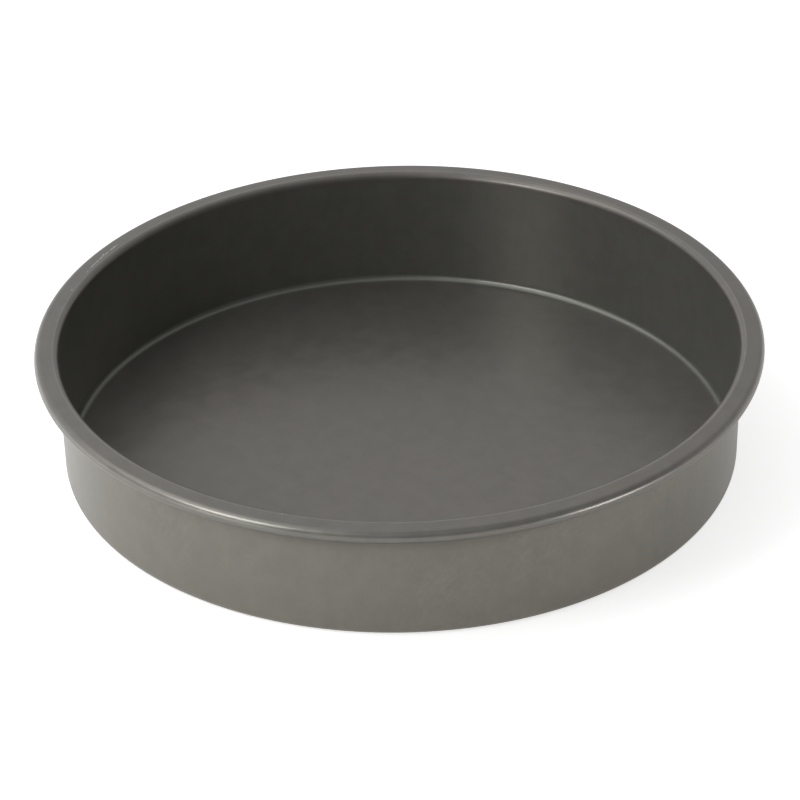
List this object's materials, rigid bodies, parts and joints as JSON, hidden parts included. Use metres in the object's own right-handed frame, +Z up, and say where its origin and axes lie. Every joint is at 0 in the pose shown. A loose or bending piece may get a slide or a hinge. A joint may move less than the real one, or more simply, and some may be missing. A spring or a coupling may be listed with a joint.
{
  "type": "round cake tin",
  "caption": "Shallow round baking tin drawn from one sheet, with a near-straight wall, a small floor corner and a flat rim rolled over a hidden wire.",
  "frame": {"origin": "centre of the underside, on the surface that the tin stands on", "axes": "+Z up along the tin's axis of revolution, out of its mouth; +X and +Y level and interchangeable"},
  "size_m": [0.218, 0.218, 0.0395],
  "materials": {
    "grey_sheet": "satin",
    "steel_wire": "satin"
  },
  "bodies": {
    "root": {"tin_body": "grey_sheet", "rim_wire": "steel_wire"}
  },
  "joints": []
}
